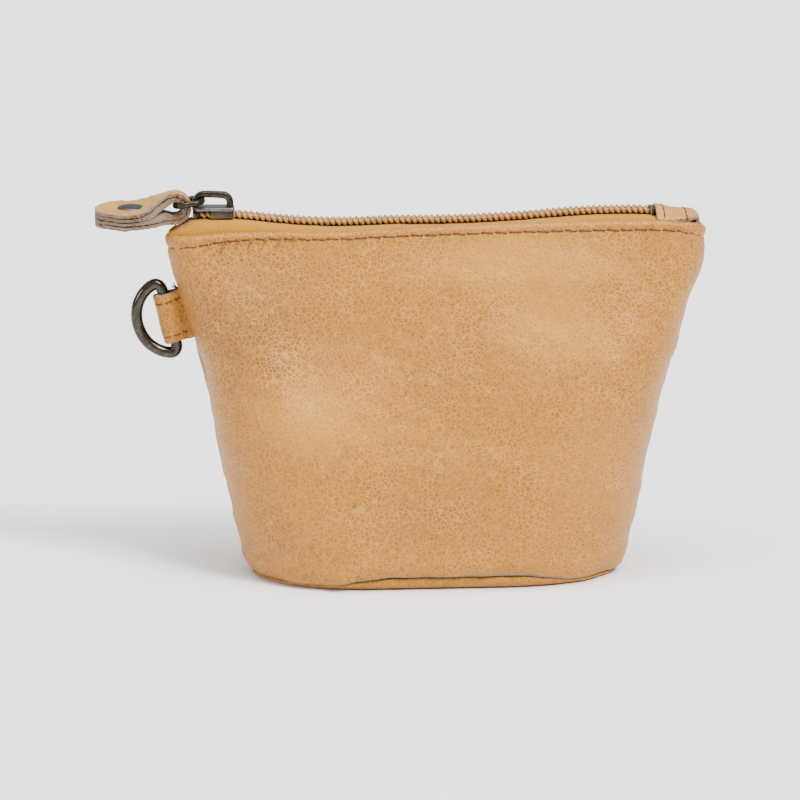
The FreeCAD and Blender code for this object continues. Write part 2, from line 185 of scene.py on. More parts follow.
def place_on_zip(piece, flap, left, slot, *nodes):
    """Bake the piece's placement into its mesh and hide the plain nodes that it stands for."""
    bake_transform(piece)
    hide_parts(*nodes)


def tube(path, radius, sides=10, closed=False):
    """Points and faces of a round wire along a path, which may be any array of points."""
    path = np.asarray(path, float)
    count = len(path)
    if closed:
        tangent = np.roll(path, -1, 0) - np.roll(path, 1, 0)
    else:
        tangent = np.gradient(path, axis=0)
    tangent /= np.linalg.norm(tangent, axis=1)[:, None]
    normal = np.zeros_like(path)
    guess = np.cross(tangent[0], [0.0, 0.0, 1.0])
    if np.linalg.norm(guess) < 1e-3:
        guess = np.array([1.0, 0.0, 0.0])
    for i in range(count):
        guess = guess - tangent[i] * guess.dot(tangent[i])
        guess /= np.linalg.norm(guess)
        normal[i] = guess
    if closed:
        turn = np.arctan2(np.cross(normal[-1], normal[0]).dot(tangent[0]), normal[-1].dot(normal[0]))
        share = np.linspace(0, turn, count)[:, None]
        normal = normal * np.cos(share) + np.cross(tangent, normal) * np.sin(share)
    side = np.cross(tangent, normal)
    radius = np.broadcast_to(radius, (count,))[:, None, None]
    angle = np.linspace(0, math.tau, sides, endpoint=False)
    ring = normal[:, None] * np.cos(angle)[None, :, None] + side[:, None] * np.sin(angle)[None, :, None]
    verts = (path[:, None] + radius * ring).reshape(-1, 3)
    faces = grid_faces(count, sides, wrap_rows=closed, wrap_cols=True)
    if not closed:
        faces.append(list(range(sides))[::-1])
        faces.append(list(range((count - 1) * sides, count * sides)))
    return verts, faces


def joined(parts):
    """One set of points and faces from several."""
    verts, faces, start = [], [], 0
    for v, f in parts:
        verts.append(v)
        faces += [[i + start for i in face] for face in f]
        start += len(v)
    return np.concatenate(verts), faces


EDGE_BULGE = 0.12


def band(path, half_widths, thickness, columns=15, edge=5, seed=1, rough=0.09, lift=None, extra=0.0):
    """A leather strip: a path in its own plane (x, z) with a width across y.

    Its first material is the grain side, left of the path, and its second the flesh side and cut edges.
    """
    path = np.asarray(path, float)
    count = len(path)
    along = np.gradient(path, axis=0)
    along /= np.linalg.norm(along, axis=1)[:, None]
    normal = np.stack([-along[:, 1], along[:, 0]], 1)
    across = np.linspace(-1, 1, columns)
    soft = 1 - 0.22 * np.abs(across) ** 10
    drop = np.linspace(1, -1, edge + 2)[1:-1]
    ring_w = np.concatenate([across, np.full(edge, 1.0), across[::-1], np.full(edge, -1.0)])
    ring_n = np.concatenate([soft, drop, -soft[::-1], -drop])
    low = 0.5 * thickness + np.broadcast_to(extra, (count,))[:, None]
    bulge, none = EDGE_BULGE * (1 - drop**2), np.zeros(columns)
    swell = np.concatenate([none, bulge, none, -bulge])
    width = np.asarray(half_widths, float)[:, None] * ring_w + swell
    rng = np.random.default_rng(seed)
    is_edge = np.abs(ring_w) > 0.999
    jitter = rng.normal(0, rough, width.shape) * is_edge
    off = np.where(ring_n > 0, 0.5 * thickness, low) * ring_n
    off = off + rng.normal(0, rough * 0.6, width.shape) * is_edge
    x = path[:, :1] + normal[:, :1] * off
    z = path[:, 1:] + normal[:, 1:] * off
    y = width + jitter
    if lift is not None:
        z = z + lift(x, y)
    verts = np.stack([x, y, z], 2).reshape(-1, 3)
    size = len(ring_w)
    faces = grid_faces(count, size, wrap_cols=True)
    kind = np.ones((count - 1, size), int)
    kind[:, : columns - 1] = 0
    kinds = kind.ravel().tolist()
    for row in (0, count - 1):
        for c in range(columns - 1):
            a, b = row * size + c, row * size + c + 1
            low_a = row * size + 2 * columns + edge - 1 - c
            low_b = low_a - 1
            faces.append([a, b, low_b, low_a])
            kinds.append(1)
        right = [row * size + k for k in range(columns - 1, columns + edge + 1)]
        left = [row * size + k for k in range(2 * columns + edge - 1, size)] + [row * size]
        faces += [right, left]
        kinds += [1, 1]
    return verts, faces, kinds


def resample(points, count, smooth=0):
    """Evenly spaced points along a polyline, softened if asked."""
    points = np.asarray(points, float)
    for _ in range(smooth):
        points[1:-1] = 0.25 * points[:-2] + 0.5 * points[1:-1] + 0.25 * points[2:]
    steps = np.concatenate([[0], np.cumsum(np.linalg.norm(np.diff(points, axis=0), axis=1))])
    at = np.linspace(0, steps[-1], count)
    return np.stack([np.interp(at, steps, points[:, k]) for k in range(points.shape[1])], 1)


# Materials.
class Surface:
    """A node material with short names for what the materials here use."""

    def __init__(self, name):
        self.material = bpy.data.materials.new(name)
        self.material.use_nodes = True
        self.tree = self.material.node_tree
        self.shader = self.tree.nodes["Principled BSDF"]
        coords = self.tree.nodes.new("ShaderNodeTexCoord")
        self.mm = self.vector_math("SCALE", coords.outputs["Object"], Scale=1 / MM)

    def node(self, kind, settings=None, inputs=None):
        node = self.tree.nodes.new(kind)
        for key, value in (settings or {}).items():
            setattr(node, key, value)
        for key, value in (inputs or {}).items():
            self.feed(node.inputs[key], value)
        return node

    def feed(self, socket, value):
        if isinstance(value, bpy.types.NodeSocket):
            self.tree.links.new(value, socket)
        elif value is not None:
            socket.default_value = value

    def vector_math(self, operation, a, b=None, **more):
        return self.node("ShaderNodeVectorMath", {"operation": operation}, {0: a, 1: b, **more}).outputs[0]

    def noise(self, scale, detail=2.0, vector=None, rough=0.5):
        return self.node("ShaderNodeTexNoise", {}, {
            "Vector": vector or self.mm, "Scale": scale, "Detail": detail, "Roughness": rough,
        }).outputs["Fac"]

    def warped(self, scale, amount):
        """Coordinates pushed about by noise, so that cells aren't regular."""
        noise = self.node("ShaderNodeTexNoise", {}, {"Vector": self.mm, "Scale": scale, "Detail": 2.0})
        centred = self.vector_math("SUBTRACT", noise.outputs["Color"], (0.5, 0.5, 0.5))
        return self.vector_math("ADD", self.mm, self.vector_math("SCALE", centred, Scale=amount))

    def cells(self, scale, vector):
        """The distance to the nearest edge between the cells of a grain."""
        return self.node("ShaderNodeTexVoronoi", {"feature": "DISTANCE_TO_EDGE"}, {
            "Vector": vector, "Scale": scale,
        }).outputs["Distance"]

    def ramp(self, value, low, high, to_low=0.0, to_high=1.0):
        return self.node("ShaderNodeMapRange", {"interpolation_type": "SMOOTHSTEP"}, {
            "Value": value, "From Min": low, "From Max": high, "To Min": to_low, "To Max": to_high,
        }).outputs["Result"]

    def math(self, operation, a, b=None):
        return self.node("ShaderNodeMath", {"operation": operation}, {0: a, 1: b}).outputs[0]

    def times(self, a, b):
        return self.math("MULTIPLY", a, b)

    def mix(self, share, a, b):
        node = self.node("ShaderNodeMix", {"data_type": "RGBA"})
        self.feed(node.inputs[0], share)
        self.feed(node.inputs[6], a)
        self.feed(node.inputs[7], b)
        return node.outputs[2]

    def bump(self, height, strength, distance_mm, under=None):
        return self.node("ShaderNodeBump", {}, {
            "Height": height, "Strength": strength, "Distance": distance_mm * MM, "Normal": under,
        }).outputs["Normal"]

    def finish(self, **inputs):
        for key, value in inputs.items():
            self.feed(self.shader.inputs[key.replace("_", " ")], value)
        return self.material


def leather(name, light, dark, crease, crease_share, pebble=0.8, pebble_depth=0.13, painted_light_patches=()):
    """Pebbled leather, whose painted light patches (x, z, half width, half height, share, colour) are painted
    shade and painted highlight laid into its colour.
    """
    s = Surface(name)
    cells = s.cells(pebble, s.warped(0.4, 1.6))
    fine = s.cells(pebble * 1.75, s.warped(1.0, 0.7))
    pulled = s.cells(pebble, s.vector_math("MULTIPLY", s.warped(0.2, 3.0), (0.75, 0.75, 0.28)))
    patch = s.noise(0.075, 2.0)
    lines = s.times(s.ramp(cells, 0.0, 0.15, 1.0, 0.0), s.ramp(patch, 0.38, 0.62, 0.65, 1.0))
    streaks = s.times(s.ramp(pulled, 0.0, 0.06, 1.0, 0.0), s.ramp(patch, 0.38, 0.58, 1.0, 0.0))
    threads = s.times(s.ramp(fine, 0.0, 0.18, 1.0, 0.0), 0.5)
    web = s.math("MAXIMUM", s.math("MAXIMUM", lines, streaks), threads)
    mottle = s.noise(0.45, 5.0, rough=0.7)
    colour = s.mix(s.ramp(mottle, 0.3, 0.7), dark, light)
    colour = s.mix(s.times(s.ramp(s.noise(0.045, 3.0), 0.38, 0.64), 0.4), colour, light)
    if painted_light_patches:
        split = s.node("ShaderNodeSeparateXYZ", {}, {0: s.mm})
        # Each patch fades its tone into the colour from its centre: painted shade for the dark ones, painted
        # highlight for the pale ones.
        for x, z, half_x, half_z, share, tone in painted_light_patches:
            dx = s.times(s.math("SUBTRACT", split.outputs[0], x), 1 / half_x)
            dz = s.times(s.math("SUBTRACT", split.outputs[2], z), 1 / half_z)
            far = s.math("ADD", s.times(dx, dx), s.times(dz, dz))
            colour = s.mix(s.ramp(s.math("POWER", far, 0.5), 0.0, 1.0, share, 0.0), colour, tone)
    colour = s.mix(s.times(web, crease_share), colour, crease)
    colour = s.mix(s.ramp(s.noise(4.5, 2.0), 0.56, 0.75, 0.0, 0.3), colour, dark)
    pebbles, grains = s.ramp(cells, 0.0, 0.3), s.ramp(fine, 0.0, 0.3)
    height = s.math("ADD", s.times(pebbles, 0.6), s.times(grains, 0.4))
    height = s.math("SUBTRACT", height, s.times(streaks, 0.4))
    normal = s.bump(height, 0.5, pebble_depth)
    normal = s.bump(s.noise(3.2, 4.0, rough=0.7), 0.22, 0.06, normal)
    rough = s.math("ADD", 0.37, s.times(mottle, 0.14))
    return s.finish(
        Base_Color=colour, Roughness=rough, Normal=normal,
        Specular_IOR_Level=0.32, Specular_Tint=(1.0, 0.78, 0.52, 1.0),
    )


def raw_edge(name, light, dark):
    s = Surface(name)
    fibres = s.noise(2.4, 6.0, rough=0.8, vector=s.vector_math("MULTIPLY", s.mm, (1.0, 1.0, 2.2)))
    colour = s.mix(s.ramp(fibres, 0.34, 0.62), dark, light)
    colour = s.mix(s.ramp(s.noise(0.9, 3.0), 0.58, 0.78, 0.0, 0.7), colour, (0.09, 0.055, 0.032, 1.0))
    normal = s.bump(fibres, 1.0, 0.45)
    return s.finish(
        Base_Color=colour, Roughness=0.94, Normal=normal, Specular_IOR_Level=0.15, Sheen_Weight=0.25,
    )


def weave(name, light, dark, pitch_x, pitch_z):
    """Cloth of two crossing rows of yarn."""
    s = Surface(name)
    split = s.node("ShaderNodeSeparateXYZ", {}, {0: s.mm})
    across = s.math("ADD", split.outputs[1], split.outputs[2])
    warp = s.math("SINE", s.times(split.outputs[0], math.tau / pitch_x))
    weft = s.math("SINE", s.times(across, math.tau / pitch_z))
    over = s.times(warp, weft)
    grain = s.math("ADD", s.times(over, 0.5), 0.5)
    fuzz = s.noise(3.0, 4.0, rough=0.7)
    value = s.math("ADD", s.times(grain, 0.65), s.times(fuzz, 0.35))
    colour = s.mix(s.ramp(value, 0.15, 0.8), dark, light)
    normal = s.bump(value, 0.9, 0.12)
    return s.finish(
        Base_Color=colour, Roughness=0.8, Normal=normal, Specular_IOR_Level=0.25, Sheen_Weight=0.15,
    )


def old_metal(name, bright, dark, worn, roughness, grain=0.5):
    """Plated metal that has gone dark in its hollows and bright along its edges."""
    s = Surface(name)
    edges = s.ramp(s.node("ShaderNodeNewGeometry").outputs["Pointiness"], 0.54, 0.62)
    cloud = s.noise(0.7, 5.0, rough=0.7)
    speck = s.noise(4.0, 3.0)
    colour = s.mix(s.ramp(cloud, 0.35, 0.7), dark, bright)
    colour = s.mix(s.times(edges, 0.65), colour, worn)
    rough = s.math("ADD", roughness - 0.1, s.times(cloud, 0.22))
    normal = s.bump(speck, 0.35 * grain, 0.05)
    return s.finish(Base_Color=colour, Metallic=1.0, Roughness=rough, Normal=normal)


def nylon(name, light, dark):
    s = Surface(name)
    tone = s.noise(0.8, 3.0)
    colour = s.mix(s.ramp(tone, 0.35, 0.65), dark, light)
    normal = s.bump(s.noise(6.0, 3.0), 0.25, 0.04)
    return s.finish(Base_Color=colour, Roughness=0.42, Normal=normal, Specular_IOR_Level=0.45)


def yarn(name, light, dark):
    s = Surface(name)
    twist = s.node("ShaderNodeTexWave", {"bands_direction": "DIAGONAL"}, {
        "Vector": s.mm, "Scale": 1.8, "Distortion": 2.0,
    }).outputs["Fac"]
    colour = s.mix(twist, dark, light)
    normal = s.bump(twist, 0.8, 0.08)
    return s.finish(Base_Color=colour, Roughness=0.8, Normal=normal, Specular_IOR_Level=0.2)


# Tones of the pouch leather's painted shade patches and painted highlight patches.
PAINTED_SHADE_TAN, PAINTED_HIGHLIGHT_TAN = (0.145, 0.060, 0.016, 1.0), (0.50, 0.225, 0.030, 1.0)
pouch_leather = leather(
    "pouch_leather", (0.335, 0.128, 0.011, 1), (0.215, 0.076, 0.008, 1), (0.52, 0.25, 0.055, 1), 0.85,
    # Painted shade where the leather turns from the light, and painted highlights where it faces the light.
    painted_light_patches=(
        (-48, 68, 32, 32, 0.80, PAINTED_SHADE_TAN), (2, 20, 30, 20, 0.42, PAINTED_SHADE_TAN),
        (-52, 12, 22, 16, 0.35, PAINTED_SHADE_TAN), (20, 84, 34, 15, 0.55, PAINTED_HIGHLIGHT_TAN),
        (30, 68, 17, 16, 0.55, PAINTED_HIGHLIGHT_TAN), (-33, 44, 24, 15, 0.50, PAINTED_HIGHLIGHT_TAN),
        (4, 56, 22, 14, 0.28, PAINTED_SHADE_TAN), (38, 34, 24, 20, 0.25, PAINTED_HIGHLIGHT_TAN),
    ),
)
pale_leather = leather(
    "pale_leather", (0.46, 0.222, 0.060, 1), (0.33, 0.150, 0.036, 1), (0.56, 0.30, 0.105, 1), 0.25,
    pebble=1.3, pebble_depth=0.04,
)
suede = raw_edge("raw_edge", (0.36, 0.225, 0.13, 1), (0.12, 0.072, 0.045, 1))
pouch_flesh = raw_edge("flesh_side", (0.30, 0.185, 0.10, 1), (0.17, 0.10, 0.055, 1))
tape_cloth = weave("zip_tape_cloth", (0.54, 0.245, 0.008, 1), (0.20, 0.078, 0.003, 1), 1.1, 0.8)
lining_cloth = weave("lining_cloth", (0.20, 0.12, 0.06, 1), (0.10, 0.06, 0.03, 1), 0.5, 0.5)
coil_nylon = nylon("coil_nylon", (0.42, 0.215, 0.06, 1), (0.27, 0.13, 0.035, 1))
brass = old_metal(
    "antique_brass", (0.070, 0.058, 0.042, 1), (0.026, 0.023, 0.020, 1), (0.34, 0.23, 0.10, 1), 0.3,
)
# The slider's top plate: brass lightened to grey as painted reflection of the white surroundings, with real
# wear on its edges.
plate_metal_painted_reflection = old_metal(
    "worn_plate_painted_reflection", (0.20, 0.20, 0.195, 1), (0.11, 0.11, 0.105, 1), (0.24, 0.20, 0.12, 1), 0.38,
)
d_metal = old_metal(
    "antique_nickel", (0.080, 0.070, 0.057, 1), (0.040, 0.035, 0.029, 1), (0.17, 0.13, 0.08, 1), 0.24, 0.12,
)
gunmetal = old_metal(
    "gunmetal", (0.12, 0.12, 0.115, 1), (0.07, 0.07, 0.068, 1), (0.2, 0.2, 0.19, 1), 0.42, 0.8,
)
brown_thread = yarn("brown_thread", (0.17, 0.062, 0.026, 1), (0.045, 0.015, 0.007, 1))


# Bag body.
def outline(side, f, z, inset=0.0):
    """A point on half of the oval at a height, where f runs from the left end to the right end."""
    mirror = np.where(f > 0.5, 1.0, -1.0)
    lean = 0.7 * np.exp(-(((z - 68) / 13) ** 2))
    shoulder = 0.9 * np.exp(-(((z - 81) / 6) ** 2)) * (f > 0.5)
    a, b, c = half_width(z) + mirror * lean + shoulder, half_depth(z), corner_run(z)
    corner = 0.5 * math.pi * np.sqrt(0.5 * (b * b + c * c))
    straight = 2 * (a - c)
    share = corner / (2 * corner + straight)
    g = 0.5 - np.abs(f - 0.5)
    turn = np.clip(g / share, 0, 1) * math.pi / 2
    in_line = np.clip((g - share) / np.maximum(1e-6, 0.5 - share), 0, 1)
    x = np.where(g < share, (a - c) + (c - inset) * np.cos(turn), (a - c) * (1 - in_line))
    y = (b - inset) * np.sin(turn)
    return mirror * x, side * y


# x, z, half width, half height, push along the surface's normal
FRONT_SHAPE = (
    (-27, 62, 25, 14, -3.0), (-43, 39, 11, 12, 2.0), (-50, 73, 9, 9, 0.8), (40, 50, 15, 17, 1.8),
    (6, 42, 20, 8, -1.0), (34, 79, 16, 7, 1.0), (57, 73, 8, 8, -1.3), (6, 18, 26, 9, -1.1),
    (-38, 17, 13, 9, 0.9), (36, 17, 12, 9, 0.7), (-4, 78, 20, 5, 0.9), (14, 62, 14, 10, 0.8),
)
BACK_SHAPE = (
    (20, 60, 28, 16, -1.6), (-30, 45, 14, 15, 1.1), (44, 38, 13, 14, 1.0), (-40, 74, 12, 8, -0.6),
    (0, 22, 26, 10, -0.6),
)
# ends of a fold (x, z, x, z), its width and its height
FRONT_FOLDS = (
    (46, 86, 60, 66, 1.6, -0.38), (52, 85, 67, 70, 1.5, -0.34), (38, 84, 50, 72, 1.8, 0.26),
    (58, 84, 68, 78, 1.2, -0.28), (-60, 78, -52, 55, 2.0, -0.3), (-12, 50, 22, 46, 1.6, -0.22),
    (-4, 46, 20, 43, 1.4, -0.18), (-55, 60, -38, 66, 1.5, -0.22), (-30, 10, -8, 6.5, 1.8, -0.45),
    (44, 30, 40, 10, 2.4, -0.25), (-46, 26, -42, 9, 2.2, -0.22),
)
BACK_FOLDS = (
    (-50, 84, -40, 66, 1.8, -0.34), (40, 84, 52, 70, 1.6, -0.3), (-10, 48, 20, 52, 1.8, -0.24),
    (10, 9, 30, 7, 1.8, -0.4),
)
SHAPES = {-1: (FRONT_SHAPE, FRONT_FOLDS, 11), 1: (BACK_SHAPE, BACK_FOLDS, 23)}


def push(side, f, x, z, top):
    """How far the leather stands out of the plain oval: dents, folds, seams and hem."""
    hollows, folds, seed = SHAPES[side]
    out = np.zeros_like(x)
    for cx, cz, rx, rz, depth in hollows:
        out = out + depth * np.exp(-(((x - cx) / rx) ** 2) - ((z - cz) / rz) ** 2)
    for x0, z0, x1, z1, width, depth in folds:
        dx, dz = x1 - x0, z1 - z0
        t = ((x - x0) * dx + (z - z0) * dz) / (dx * dx + dz * dz)
        near = np.clip(t, 0, 1)
        bow = 1.2 * np.sin(near * math.pi)
        distance = np.hypot(x - x0 - near * dx, z - z0 - near * dz - bow)
        out = out + depth * np.exp(-((distance / width) ** 2)) * np.sin(np.clip(t, 0, 1) * math.pi) ** 1.2
    drop = top - z
    body = np.clip((drop - 5) / 12, 0, 1) * np.clip((z - RIM) / 8, 0, 1)
    out = out + body * (0.28 * ripple(x, z, 26, seed) + 0.10 * ripple(x, z, 9, seed + 1))
    out = out + 0.035 * ripple(x, z, 3.4, seed + 2) * np.clip((drop - 4) / 3, 0, 1)
    out = out + 0.30 * np.exp(-(((drop - 1.5) / 1.1) ** 2))
    hole = 0.65 + 0.35 * np.cos(math.tau * x / HEM_PITCH)
    out = out - 0.40 * hole * np.exp(-(((drop - stitch_drop(x)) / 0.45) ** 2))
    pucker = np.cos(math.tau * (x + 0.4 * np.sin(x * 0.9)) / HEM_PITCH)
    out = out + 0.07 * pucker * np.exp(-(((drop - 4.2) / 1.7) ** 2))
    out = out + 0.08 * ripple(x, 0.3 * z, 8, seed + 3) * np.exp(-(((drop - 5.5) / 2.5) ** 2))
    low = z - RIM + base_drop(x)
    out = out + 1.0 * np.exp(-(((low - 4.2) / 3.0) ** 2)) - 0.4 * np.exp(-((low / 1.2) ** 2))
    out = out + 0.42 * ripple(x, 0 * z, 7.0, seed + 4) * np.exp(-(((low - 1.8) / 2.4) ** 2))
    out = out + 0.5 * smooth_step(np.abs(x), 18, 40) * np.exp(-((low / 3.5) ** 2))
    end = (0.5 - np.abs(f - 0.5)) * 145.0
    out = out - 0.55 * np.exp(-((end / 0.9) ** 2)) + 0.22 * np.exp(-(((end - 2.2) / 1.3) ** 2))
    return out


def skin(side, f, v, dented=True):
    """A point on the outside of a panel, from its base seam (v=0) to its hem (v=1)."""
    top_x, _ = outline(side, f, np.full_like(f, HEM))
    back_dip = 0.0 if side < 0 else -0.7
    top = HEM + hem_rise(top_x) + back_dip * np.clip((70 - np.abs(top_x)) / 12, 0, 1)
    seam_x, _ = outline(side, f, np.full_like(f, RIM))
    seam = RIM - base_drop(seam_x)
    z = seam + (top - seam) * v
    x, y = outline(side, f, z)
    point = np.stack([x, y, z], -1)
    if not dented:
        return point
    step = 2e-4
    normal = surface_normal(lambda p, q: skin(side, p, q, False), f, v, step)
    return point + normal * push(side, f, x, z, top)[..., None]


def surface_normal(surface, f, v, step=1e-3):
    f0, f1 = np.clip(f - step, 0, 1), np.clip(f + step, 0, 1)
    df = surface(f1, v) - surface(f0, v)
    dv = surface(f, v + step) - surface(f, v - step)
    normal = np.cross(df, dv)
    normal /= np.linalg.norm(normal, axis=-1)[..., None]
    at_end = (f <= 1e-6) | (f >= 1 - 1e-6)
    normal[..., 1] = np.where(at_end, 0.0, normal[..., 1])
    outward = surface(f, v)
    outward[..., 2] = 0
    sign = np.sign((normal * outward).sum(-1))
    return normal * sign[..., None]


def panel_profile():
    """The closed section of a panel: (v, inset) up the outside, over the folded hem and down inside."""
    height = HEM - RIM
    roll = FOLD_INSET / 2
    rows = [(v, 0.0) for v in np.linspace(0.008, 1 - roll / height, 190)]
    for a in np.linspace(0, math.pi, 11)[1:-1]:
        rows.append((1 - roll / height + roll / height * math.sin(a), roll - roll * math.cos(a)))
    for v in np.linspace(1 - roll / height, 1 - 7.5 / height, 10):
        rows.append((v, FOLD_INSET))
    for v in np.linspace(1 - 8.0 / height, 0.008, 50):
        rows.append((v, LEATHER))
    rows.append((0.0, LEATHER * 0.75))
    rows.append((0.0, LEATHER * 0.3))
    return np.array(rows)


def make_panel(name, side):
    profile = panel_profile()
    f = np.linspace(0, 1, 321)
    grid_f, grid_v = np.meshgrid(f, profile[:, 0], indexing="xy")
    point = skin(side, grid_f, grid_v)
    normal = surface_normal(lambda p, q: skin(side, p, q), grid_f, grid_v)
    verts = point - normal * profile[:, 1][:, None, None]
    rows, cols = grid_f.shape
    faces = grid_faces(rows, cols, wrap_rows=True)
    kinds = np.zeros((rows, cols - 1), int)
    kinds[int(np.argmax(profile[:, 1] == LEATHER)) + 3:, :] = 1
    kinds = kinds.ravel().tolist()
    faces += side_caps(rows, cols)
    kinds += [1, 1]
    piece = make_mesh(name + "_leather", verts.reshape(-1, 3), faces, [pouch_leather, pouch_flesh], kinds)
    place(piece, "pouch", "leather", name + "_panel")


def make_lining(name, side):
    """A thin cloth wall inside the leather, sewn below the hem."""
    inset, thick = FOLD_INSET + 0.75, 0.4
    values = np.concatenate([np.linspace(0.0, 0.955, 60), np.linspace(0.955, 0.0, 60)])
    insets = np.concatenate([np.full(60, inset), np.full(60, inset + thick)])
    grid_f, grid_v = np.meshgrid(np.linspace(0, 1, 141), values, indexing="xy")
    point = skin(side, grid_f, grid_v)
    normal = surface_normal(lambda p, q: skin(side, p, q, False), grid_f, grid_v)
    wave = 0.15 * ripple(point[..., 0], point[..., 2], 12, 41 + side)
    verts = point - normal * (insets[:, None] + 0.5 * np.clip(1 - grid_v / 0.9, 0, 1) + wave)[..., None]
    rows, cols = grid_f.shape
    faces = grid_faces(rows, cols, wrap_rows=True) + side_caps(rows, cols)
    piece = make_mesh(name + "_lining_cloth", verts.reshape(-1, 3), faces, [lining_cloth])
    place(piece, "pouch", "lining", name + "_lining")


def full_outline(count, z, inset):
    """The whole oval as one closed ring of points."""
    f = np.linspace(0, 1, count, endpoint=False)
    x0, y0 = outline(-1, f, np.full_like(f, z), inset)
    x1, y1 = outline(1, 1 - f, np.full_like(f, z), inset)
    return np.concatenate([x0, x1]), np.concatenate([y0, y1])


def make_tray(name, rows, material, slot, node, wobble=0.0):
    """A dish of rings (inset, height), closed across its middle above and below."""
    verts = []
    for inset, height in rows:
        x, y = full_outline(180, RIM, inset)
        edge = np.exp(-((inset / 1.6) ** 2))
        swell = wobble * edge * ripple(x, y, 7.0, 5)
        length = np.hypot(x, y)
        low = height * (1 - base_drop(x) / (RIM + 0.4))
        verts.append(np.stack([x * (1 + swell / length), y * (1 + swell / length), low], 1))
    verts = np.array(verts)
    count, size = verts.shape[:2]
    faces = grid_faces(count, size, wrap_cols=True)
    for ring in (0, count - 1):
        half = size // 2
        for i in range(half - 1):
            faces.append([ring * size + k for k in (i, i + 1, size - 2 - i, size - 1 - i)])
    piece = make_mesh(name, verts.reshape(-1, 3), faces, [material])
    place(piece, "pouch", slot, node)


BASE_ROWS = (
    (22, 0.35), (18, 0.25), (12, 0.12), (7, 0.02), (4.5, 0.0), (3.4, 0.05), (2.6, 0.22), (1.8, 0.6),
    (1.2, 1.15), (0.8, 1.8), (0.65, 2.4), (0.7, 2.9), (0.95, 3.25), (1.3, 3.35), (1.6, 3.2),
    (1.8, 2.8), (2.0, 2.0), (2.6, 1.5), (5, 1.35), (12, 1.35), (22, 1.35),
)
LINING_ROWS = (
    (22, 1.6), (12, 1.6), (4.4, 1.65), (3.5, 2.1), (3.3, 4.0), (3.7, 4.0), (3.9, 2.4), (4.8, 2.0),
    (12, 1.95), (22, 1.95),
)


# Threads.
def stitches(holes, out, radius=0.21, sink=0.45, rise=0.12, slant=0.3):
    """A row of stitches from hole to hole, each dipping into the leather at its ends."""
    parts = []
    for i in range(len(holes) - 1):
        t = np.linspace(0.05, 0.95, 11)[:, None]
        line = holes[i] * (1 - t) + holes[i + 1] * t
        line[:, 2:] += slant * (0.5 - t)
        normal = out[i] * (1 - t) + out[i + 1] * t
        away = np.abs(2 * t - 1) / 0.9
        height = rise - (sink + rise) * away**5
        parts.append(tube(line + normal * height, (radius * (0.75 + 0.6 * away**2))[:, 0], 6))
    return joined(parts)


def make_hem_thread(name, side):
    reach = np.arange(-19, 20) * HEM_PITCH
    f = np.linspace(0, 1, 2001)
    line = skin(side, f, np.full_like(f, 1 - 3 / (HEM - RIM)), False)
    at = np.interp(reach, line[:, 0], f)
    v = 1 - stitch_drop(reach) / (HEM - RIM)
    points = skin(side, at, v)
    normal = surface_normal(lambda p, q: skin(side, p, q, False), at, v)
    points[:, 2] += 0.12 * np.sin(np.arange(len(points)) * 2.3)
    verts, faces = stitches(points + normal * 0.22, normal)
    piece = make_mesh(name + "_hem_stitches", verts, faces, [brown_thread])
    place(piece, "pouch", "thread", name + "_hem_thread")


# Zip.
def chain_z(x):
    return COIL_MIDDLE + coil_sag(x)


def flap_of(side):
    return "front_flap" if side < 0 else "back_flap"


def tape_section(x, side):
    """The tape's line across the zip at each x: flat under the coil, then down into the hem."""
    flat = chain_z(x) - 1.25
    hem = HEM + hem_rise(x) - (0.7 if side > 0 else 0)
    past_end = np.clip(-62.3 - x, 0, 9)
    flat = flat - 0.42 * past_end**1.15
    room = half_depth(HEM) * np.sqrt(np.clip(1 - ((np.abs(x) - 61.8) / 8.4).clip(0, 1) ** 2, 0.01, 1)) - 2.5
    narrow = np.minimum(1.0, np.maximum(room, 0.7) / 5.7)
    ys = [0.75, 1.6, 2.6, 3.5, 4.3, 4.95, 5.35, 5.55, 5.7]
    share = [0, 0, 0, 0.02, 0.12, 0.42, 0.78, 1.0, 1.25]
    z = [flat + (np.minimum(hem - 0.6, flat) - flat) * s for s in share]
    return np.stack([np.stack([x, side * y * narrow, zz], 1) for y, zz in zip(ys, z)], 1)


def make_tape(name, side, x0, x1, left, node):
    x = np.linspace(x0, x1, max(12, int((x1 - x0) / 0.7)))
    line = tape_section(x, side)
    crumple = 0.07 + 0.4 * smooth_step(-line[..., 0], 61.5, 64)
    line[..., 2] += crumple * ripple(line[..., 0], line[..., 1] * 2, 5, 71 + side)
    across = np.gradient(line, axis=1)
    normal = np.cross(np.array([1.0, 0, 0]), across)
    normal /= np.linalg.norm(normal, axis=-1)[..., None]
    ring = np.concatenate([line + 0.24 * normal, (line - 0.24 * normal)[:, ::-1]], 1)
    count, size = ring.shape[:2]
    faces = grid_faces(count, size, wrap_cols=True) + end_caps(count, size)
    piece = make_mesh(name, ring.reshape(-1, 3), faces, [tape_cloth])
    place_on_zip(piece, flap_of(side), left, "zip_tape", node)


COIL_PITCH = 1.5
COIL_WIRE = 0.42


def coil_path(side, x0, x1):
    """One row's nylon filament: flattened turns whose heads reach past the zip's middle."""
    turns = (x1 - x0) / COIL_PITCH
    t = np.linspace(0, turns, int(turns * 18))
    angle = math.tau * t
    x = x0 + COIL_PITCH * t + 0.16 * np.sin(2 * angle)
    y = -1.18 + 1.22 * squared_off(np.cos(angle), 0.72)
    z = 0.55 * squared_off(np.sin(angle), 0.72)
    shift = 0.0 if side < 0 else COIL_PITCH / 2
    return np.stack([x + shift, -side * y, chain_z(x + shift) + z], 1)


